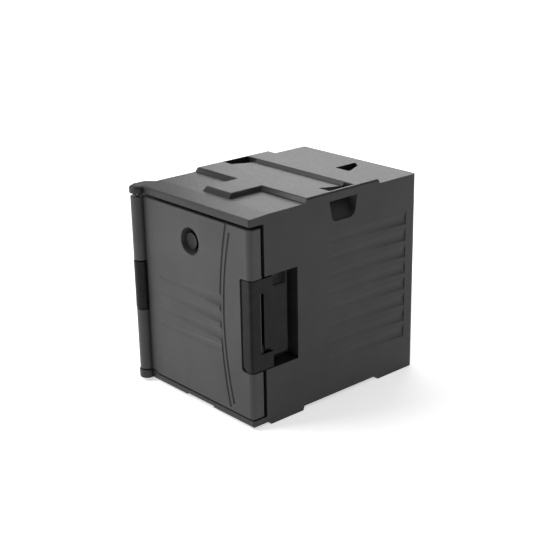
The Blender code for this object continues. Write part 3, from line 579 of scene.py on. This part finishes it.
def scoop():
    """Wedge hollow: steep at its left wall, running out flat to the right."""
    plan = rounded([(262, 524, 3), (322, 524, 5), (293, 588, 6), (262, 610, 4)])
    section = rounded([(261, 594, 0), (330, 609, 0), (330, 640, 0), (261, 640, 0)])
    return carved(slab(section, "uz", 515, 620), ("INTERSECT", slab(plan, "uv", 580, 640)))


body = carved(body, ("DIFFERENCE", valley()), ("DIFFERENCE", hand_hold("left")),
              ("DIFFERENCE", hand_hold("right")), ("DIFFERENCE", scoop()))
print("with hollows:", len(body.faces))

# %% [markdown]
# ## Side flutes
# Eight shallow hollows on each side stiffen the wall. Each is a long, nearly level cylinder that
# dips further into the wall towards the rear, so it starts faintly and ends in a crisp scallop. A
# large radius and many sides keep the hollow smooth. They are cut last, when the rims are done.

# %% Flutes on both sides
FLUTE_RADIUS = 72.0
FLUTE_DEPTHS = (0.5, 3.0)
FLUTE_V = (290.0, 606.0)
FLUTE_COUNT = 8
FLUTE_TOP_Z = 484.6
FLUTE_PITCH = 50.9


def side_flutes():
    forms = []
    for wall, out in ((0.0, -1), (BODY_W, 1)):
        for k in range(FLUTE_COUNT):
            z = FLUTE_TOP_Z - FLUTE_PITCH * k
            first, last = (wall + out * (FLUTE_RADIUS - depth) for depth in FLUTE_DEPTHS)
            forms.append(rod((first, FLUTE_V[0], z), (last, FLUTE_V[1], z), FLUTE_RADIUS, 200))
    return forms


flutes = side_flutes()
print("flutes:", len(flutes))

# %% [markdown]
# ## Inside the body
# The chamber is open at the front and has eleven pairs of rails for full-size pans. The latch
# pocket is cut into the right wall and is open to the front, so that the latch's leaf can swing in.
# The foam fills the space between the skins; its own shape, grown by a hair, cuts that space.

# %% Chamber, rails, pocket and bores
CHAMBER_U = (70.0, 405.0)
CHAMBER_Z = (78.0, 542.0)
RAIL_COUNT = 11
POCKET_U = 430.0
POCKET_V = (45.0, 170.0)
POCKET_Z = (169.0, 440.5)


def pan_rails():
    pitch = (CHAMBER_Z[1] - CHAMBER_Z[0]) / (RAIL_COUNT + 1)
    rails = []
    for k in range(RAIL_COUNT):
        top = CHAMBER_Z[0] + pitch * (k + 1)
        left = [(67, top, 0), (67, top - 15, 0), (82, top - 5, 2), (82, top, 2)]
        right = [(475 - u, z, r) for u, z, r in reversed(left)]
        rails += [slab(rounded(left, 3), "uz", 64, 588), slab(rounded(right, 3), "uz", 64, 588)]
    return together(*rails)


def pocket():
    plan = rounded([(POCKET_U, POCKET_V[0], 0), (BODY_W + 10, POCKET_V[0], 0),
                    (BODY_W + 10, POCKET_V[1], 0), (POCKET_U, POCKET_V[1], 6)])
    return slab(plan, "uv", *POCKET_Z)


holes = together(rod((BODY_W / 2, 641.5, 300), (BODY_W / 2, 653, 300), 14 + GAP),
                 *[rod((-5, v, z), (14, v, z), 2.4, 24) for v in (78, 106) for z in (262, 354)],
                 *[rod((419.5, 130, z), (435, 130, z), 2.4, 24) for z in (250, 360)])
rod_bore = turned([(0, 600 + GAP), (5 + GAP, 600 + GAP), (5 + GAP, 18 - GAP), (8 + GAP, 18 - GAP),
                   (8 + GAP, 0), (0, 0)], (AXIS_U, AXIS_V, 0))
body = carved(body,
              ("DIFFERENCE", box(CHAMBER_U, (RIM_V - 5, 595), CHAMBER_Z)),
              ("DIFFERENCE", cad_copy("body_foam", 0.3)),
              ("DIFFERENCE", pocket()),
              ("DIFFERENCE", box((175, 300), (-10, 196), (-5, 16))),
              ("DIFFERENCE", rod_bore), ("DIFFERENCE", holes), ("UNION", pan_rails()))
body = carved(softened(body, 1.8), ("DIFFERENCE", together(*flutes[0::2])),
              ("DIFFERENCE", together(*flutes[1::2])))
piece("moulded_body", body, "carrier_body", SHELL, ["body_shell"], angle=30)

# %% [markdown]
# ## The door
# The door is a second hollow moulding: a thick slab whose free edge is rounded off, and on the hinge
# side two round columns joined to it by a web. Its face has two bowed grooves, four flutes that run
# into the left groove, the vent's cup, and a notch at the corner that the latch's front leg fills.

# %% Door slab and hinge columns
DOOR_T = 42.0
DOOR_Z = (31.0, 578.5)
COLUMN_R = 21.5
KNUCKLE_GAP_Z = (231.0, 385.0)
COLUMN_Z = ((38.5, KNUCKLE_GAP_Z[0]), (KNUCKLE_GAP_Z[1], 577.8))


def door_slab():
    plan = rounded([(1, 0, 0), (BODY_W, 0, 16), (BODY_W, DOOR_T, 5), (1, DOOR_T, 3)], steps=10)
    upright = rounded([(0, DOOR_Z[0], 0), (BODY_W + 1, DOOR_Z[0], 6), (BODY_W + 1, DOOR_Z[1], 6),
                       (0, DOOR_Z[1], 0)])
    side = rounded([(-1, DOOR_Z[0], 5), (DOOR_T + 1, DOOR_Z[0], 4), (DOOR_T + 1, DOOR_Z[1], 4),
                    (-1, DOOR_Z[1], 5)])
    return carved(slab(plan, "uv", *DOOR_Z), ("INTERSECT", slab(upright, "uz", -5, DOOR_T + 5)),
                  ("INTERSECT", slab(side, "vz", -1, BODY_W + 1)))


def column(z):
    height = z[1] - z[0]
    return turned([(0, height), (COLUMN_R - 2, height), (COLUMN_R - 0.6, height - 0.6),
                   (COLUMN_R, height - 2), (COLUMN_R, 2), (COLUMN_R - 0.6, 0.6), (COLUMN_R - 2, 0),
                   (0, 0)], (AXIS_U, AXIS_V, z[0]), steps=64)


def web(z):
    side = AXIS_U - COLUMN_R + 0.6
    outline = rounded([(side, AXIS_V, 0), (side + 3, 16, 6), (-8, DOOR_T - 0.4, 6), (12, DOOR_T - 0.4, 0),
                       (12, 0.3, 0), (6, 0.3, 5), (AXIS_U + 8, AXIS_V - 6, 0), (AXIS_U, AXIS_V, 0)])
    return slab(outline, "uv", z[0] + 1.2, z[1] - 1.2)


door = door_slab()
for z in COLUMN_Z:
    door = carved(door, ("UNION", column(z)), ("UNION", web(z)))
print("door slab:", len(door.faces))

# %% [markdown]
# ## Grooves, flutes and notch of the door
# A groove is a thin tube swept along a circle's arc and taken out of the face. The flutes are long
# cylinders like those on the sides. The notch follows the outline of the latch's front leg, with
# corners small enough to let the leg swing.

# %% Cuts in the door
GROOVE_MID_Z = 308.0
GROOVES = ((347.0, 1113.0, 42.0, 590.0), (361.5, 968.0, 56.0, 556.0))
DOOR_FLUTE_Z = (352.0, 302.5, 253.0, 203.5)
DOOR_FLUTE_RADIUS = 48.0
DOOR_FLUTE_U = (74.0, 347.0)
DOOR_FLUTE_DEPTHS = (0.6, 4.2)
GROOVE_R = 4.0
VENT = (220.0, 37.0, 492.0)
NOTCH_Z = (168.5, 438.5)


def groove(middle_u, radius, z_range, width, steps=60):
    """A circle swept about the centre of the arc that the groove follows."""
    bm = bmesh.new()
    centre = at(middle_u + radius, 0, GROOVE_MID_Z)
    start = math.asin((z_range[0] - GROOVE_MID_Z) / radius)
    end = math.asin((z_range[1] - GROOVE_MID_Z) / radius)
    first = centre + Vector((-radius * MM * math.cos(start), 0, radius * MM * math.sin(start)))
    along = Vector((math.sin(start), 0, math.cos(start)))
    turn = along.to_track_quat("Z", "Y").to_matrix().to_4x4()
    ring = bmesh.ops.create_circle(bm, cap_ends=True, segments=16, radius=width * MM,
                                   matrix=Matrix.Translation(first) @ turn)
    geom = ring["verts"] + bm.edges[:] + bm.faces[:]
    bmesh.ops.spin(bm, geom=geom, cent=centre, axis=(0, 1, 0), angle=end - start, steps=steps,
                   use_merge=False)
    bmesh.ops.recalc_face_normals(bm, faces=bm.faces)
    return bm


def door_flutes():
    first, last = (depth - DOOR_FLUTE_RADIUS for depth in DOOR_FLUTE_DEPTHS)
    return together(*[rod((DOOR_FLUTE_U[0], first, z), (DOOR_FLUTE_U[1], last, z), DOOR_FLUTE_RADIUS, 160)
                      for z in DOOR_FLUTE_Z])


def latch_notch():
    outline = rounded([(431.5, NOTCH_Z[0], 12), (BODY_W + 5, NOTCH_Z[0], 0),
                       (BODY_W + 5, NOTCH_Z[1], 0), (431.5, NOTCH_Z[1], 8)], steps=10)
    return slab(outline, "uz", -5, 20)


def vent_cup():
    return turned([(0, 40), (45, 40), (41.5, 37.6), (39.6, 36.2), (38.4, 34), (31.6, 3), (30, 0.6), (28.5, 0),
                   (17.3, 0), (17.3, -2.3), (10, -2.3), (10, -20), (0, -20)], VENT, "front", 96)


def gasket_ring(grow, v):
    outer, inner = slice_ring(-grow), slice_ring(14 + grow)
    return carved(slab(outer, "uz", *v), ("DIFFERENCE", slab(inner, "uz", v[0] - 1, v[1] + 1)))


def slice_ring(inset):
    u0, u1, z0, z1 = 46 + inset, 429 - inset, 54 + inset, 566 - inset
    return [(u0, z0), (u1, z0), (u1, z1), (u0, z1)]


door = carved(door,
              ("DIFFERENCE", slab([(-60, 20), (-60, 38.5), (30, 38.5), (48, 31), (48, 20)], "uz", -60, 52)),
              ("DIFFERENCE", box((-60, 1.8), (-60, 60), KNUCKLE_GAP_Z)),
              ("DIFFERENCE", rod((AXIS_U, AXIS_V, 231.1), (AXIS_U, AXIS_V, 384.9), 23.3, 64)),
              ("DIFFERENCE", cad_copy("door_foam", 0.3)),
              ("DIFFERENCE", rod((300, 21, 569.5), (300, 21, 583.5), 9.3)),
              ("DIFFERENCE", gasket_ring(GAP, (39, 47))),
              ("DIFFERENCE", latch_notch()),
              ("DIFFERENCE", box((468.2, 480), (-5, 47), NOTCH_Z)),
              ("DIFFERENCE", vent_cup()))
for low, high in COLUMN_Z:
    bore = [(0, high + 5), (8.3, high + 5), (8.3, high - 22.3), (6.2, high - 22.3), (6.2, low + 22.3),
            (8.3, low + 22.3), (8.3, low - 5), (0, low - 5)]
    door = carved(door, ("DIFFERENCE", turned(bore, (AXIS_U, AXIS_V, 0))))
door = carved(door, ("DIFFERENCE", together(*[rod((459, 15, z), (459, 29.5, z), 1.9, 24)
                                              for z in (260, 348)])))
door = carved(softened(door, 1.2), ("DIFFERENCE", door_flutes()))
for middle_u, radius, low_z, high_z in GROOVES:
    door = carved(door, ("DIFFERENCE", groove(middle_u, radius, (low_z, high_z), GROOVE_R)))
piece("moulded_door", door, "door", DOOR_PE_PAINTED_LIGHT, ["door_shell"], angle=30)

# %% [markdown]
# ## Gasket
# A soft silicone profile sits in the channel at the door's back and closes on the body's rim. Its
# lip is rounded, so the flat engineering ring becomes a ring with bevelled edges.

# %% Door gasket
gasket = gasket_ring(0.0, (39.3, 50.7))
gasket_rims = [e for e in gasket.edges if e.calc_face_angle(0.0) > 1.0
               and min(v.co.y for v in e.verts) > at(0, 50, 0).y]
bmesh.ops.bevel(gasket, geom=gasket_rims, offset=3.2 * MM, offset_type="OFFSET", segments=5,
                profile=0.5, affect="EDGES", material=-1)
piece("silicone_gasket", gasket, "door", RUBBER, ["door_gasket"], angle=50)

# %% [markdown]
# ## Latch
# The latch is one black moulding: a front leg in the door's notch, a side frame with a tall window,
# two thick bars behind the window's ends and a leaf that dips into the body's pocket, where a rib
# lies by the keeper's nose. It is built like the body: an outline in plan, crossed with a front
# outline that rounds the lower corner, then cut and joined.

# %% Latch
LATCH_Z = (172.0, 436.0)
LATCH_AXIS = (446.0, 11.5)


def latch():
    outer = BODY_W - 0.2
    inner = outer - 6.0
    u, v = LATCH_AXIS
    plan = rounded([(438, 0.4, 2.2), (outer, 0.4, 8), (outer, 80, 2.4), (inner, 80, 0), (inner, 6.4, 2),
                    (438, 6.4, 2)], steps=8)
    front = rounded([(437, LATCH_Z[0], 24), (outer + 5, LATCH_Z[0], 0), (outer + 5, LATCH_Z[1], 0),
                     (437, LATCH_Z[1], 8)], steps=10)
    window = rounded([(34, 219, 2), (90, 219, 0), (90, 395, 0), (34, 395, 2)])
    bar_plan = rounded([(458, 57, 2), (outer - 0.4, 57, 0), (outer - 0.4, 79.6, 3), (458, 79.6, 3)])
    leaf_side = rounded([(56, 200, 3), (138, 200, 9), (138, 402, 9), (56, 402, 3)])
    return carved(
        slab(plan, "uv", *LATCH_Z),
        ("INTERSECT", slab(front, "uz", -5, 90)),
        ("DIFFERENCE", slab(window, "vz", inner - 5, outer + 5)),
        ("UNION", slab(bar_plan, "uv", 395.5, LATCH_Z[1] - 0.5)),
        ("UNION", slab(bar_plan, "uv", LATCH_Z[0] + 0.5, 218.5)),
        ("UNION", slab(leaf_side, "vz", 458.5, 464)),
        ("UNION", box((453, 460), (101, 106), (240, 362), 1.5)),
        ("UNION", rod((u, v, 240), (u, v, 368), 4.5, 48)),
        ("UNION", box((u - 4.4, u + 4.4), (4.4, v), (240.2, 367.8))),
        ("DIFFERENCE", rod((u, v, 200), (u, v, 410), 2.8, 32)))


piece("latch_frame", softened(latch(), 1.0), "latch", NYLON, ["latch_handle"])

# %% [markdown]
# ## Middle hinge knuckle
# Between the two columns the rod passes through a nylon knuckle. An arm carries it back to a plate
# screwed to the body's side. Its ends are chamfered, and the arm has soft edges.

# %% Knuckle
def knuckle():
    barrel = turned([(0, 150), (20, 150), (21.7, 149.2), (22.5, 147.5), (22.5, 2.5), (21.7, 0.8), (20, 0),
                     (0, 0)], (AXIS_U, AXIS_V, 233), steps=64)
    plate_holes = together(*[rod((-20, v, z), (1, v, z), 2.4, 24) for v in (78, 106) for z in (262, 354)])
    return carved(
        barrel,
        ("UNION", box((-14, -0.6), (AXIS_V, 60), (239, 377), 2.0)),
        ("UNION", box((-8.5, -GAP), (54, 118), (244, 372), 2.5)),
        ("DIFFERENCE", rod((AXIS_U, AXIS_V, 200), (AXIS_U, AXIS_V, 400), 5.3, 48)),
        ("DIFFERENCE", plate_holes))


piece("hinge_knuckle", softened(knuckle(), 0.8), "carrier_body", NYLON, ["mid_hinge_bracket"])

# %% [markdown]
# ## Vent plug
# A round knob on a flange sits in the cup. Pulled out a few millimetres it lets steam escape through
# the sleeve. It is one turned form with a slightly dished face and a soft rim.

# %% Vent plug
KNOB_R = 24.0
KNOB_FACE_V = 7.0


def vent_plug():
    back = VENT[1] - 2.5
    face = back - KNOB_FACE_V
    return turned([(0, face - 1.6), (12, face - 1.5), (19, face - 0.9), (21, face - 0.1), (22, face),
                   (23.3, face - 0.6), (KNOB_R, face - 2), (KNOB_R, 4.5), (24.5, 3.4), (25.5, 3), (27, 3),
                   (28.1, 2.5), (28.5, 1.5), (28.5, 0), (6.9, 0), (6.9, -9), (0, -9)],
                  (VENT[0], back, VENT[2]), "front", 96)


piece("vent_knob", vent_plug(), "vent", NYLON, ["vent_plug"])

# %% [markdown]
# ## Floor, light and camera
# The carrier stands on plain white ground in a bright studio. One large soft box stands behind it, a
# second one hangs at its front left, and its right side faces the darker end of the room, where a
# weak lamp only fills the shadows.
# Away from the carrier the ground gives a little light of its own, like the lit sweep of a photo
# studio, so that the background stays white and the shadow stays soft.

# %% Floor
def floor():
    bm = bmesh.new()
    bmesh.ops.create_grid(bm, x_segments=1, y_segments=1, size=12.0)
    mesh = bpy.data.meshes.new("studio_floor")
    bm.to_mesh(mesh)
    bm.free()
    obj = bpy.data.objects.new("studio_floor", mesh)
    bpy.context.scene.collection.objects.link(obj)
    material, tree, shader, place = new_material("matt_white_paper", "f7f7f7", 0.9)
    fibre = add(tree, "ShaderNodeTexNoise", {"Scale": per_mm(400), "Detail": 2.0}, Vector=place)
    tree.links.new(ramp(tree, fibre.outputs["Fac"], [(0.3, "f6f6f6"), (0.7, "f9f9f9")]),
                   shader.inputs["Base Color"])
    shader.inputs["Emission Color"].default_value = (1.0, 1.0, 1.0, 1.0)
    reach = add(tree, "ShaderNodeVectorMath", {"operation": "LENGTH"}, Vector=place)
    glow = add(tree, "ShaderNodeMapRange", {"From Min": 0.7, "From Max": 2.2, "To Min": 0.58, "To Max": 0.8},
               Value=reach.outputs["Value"])
    tree.links.new(glow.outputs["Result"], shader.inputs["Emission Strength"])
    mesh.materials.append(material)


floor()

# %% Lights and surroundings
def soft_box(name, place, target, size, power):
    light = bpy.data.lights.new(name, "AREA")
    light.shape = "RECTANGLE"
    light.size, light.size_y = size
    light.energy = power
    obj = bpy.data.objects.new(name, light)
    obj.location = place
    obj.rotation_euler = (Vector(target) - Vector(place)).to_track_quat("-Z", "Y").to_euler()
    bpy.context.scene.collection.objects.link(obj)


def room():
    """White surroundings that give less light from the front right."""
    world = bpy.data.worlds.new("white_studio")
    bpy.context.scene.world = world
    world.use_nodes = True
    tree = world.node_tree
    away = add(tree, "ShaderNodeVectorMath", {"operation": "DOT_PRODUCT"},
               Vector=add(tree, "ShaderNodeTexCoord").outputs["Generated"])
    away.inputs[1].default_value = (0.8, -0.6, 0.0)
    strength = add(tree, "ShaderNodeMapRange", {"From Min": -0.5, "From Max": 0.6, "To Min": 0.5,
                                                "To Max": 0.08}, Value=away.outputs["Value"])
    tree.links.new(strength.outputs["Result"], tree.nodes["Background"].inputs["Strength"])
    tree.nodes["Background"].inputs["Color"].default_value = (1.0, 1.0, 1.0, 1.0)


soft_box("rear_box", (-1.5, 1.9, 1.8), (0, 0.15, 0.6), (1.8, 1.4), 26)
soft_box("front_left_box", (-1.5, -2.3, 2.5), (0, 0, 0.4), (1.8, 1.8), 76)
soft_box("right_fill", (2.2, 0.2, 2.6), (0.2, 0, 0.4), (1.2, 1.2), 8)
room()
bpy.context.scene.view_settings.view_transform = "Standard"

# %% [markdown]
# The camera looks down at about 20 degrees from the front right, with a long lens, so the carrier's
# upright edges stay nearly parallel.

# %% Camera
YAW, PITCH, ROLL = math.radians(48.28), math.radians(20.14), math.radians(0.92)
camera_data = bpy.data.cameras.new("studio_camera")
camera_data.sensor_width = 36.0
camera_data.lens = 75.27
camera_data.clip_end = 50.0
camera = bpy.data.objects.new("studio_camera", camera_data)
camera.location = (2.4641, -2.1745, 1.5028)
camera.rotation_euler = (Matrix.Rotation(YAW, 3, "Z") @ Matrix.Rotation(math.pi / 2 - PITCH, 3, "X")
                         @ Matrix.Rotation(-ROLL, 3, "Z")).to_euler()
bpy.context.scene.collection.objects.link(camera)
bpy.context.scene.camera = camera
print("camera at", tuple(round(c, 3) for c in camera.location))
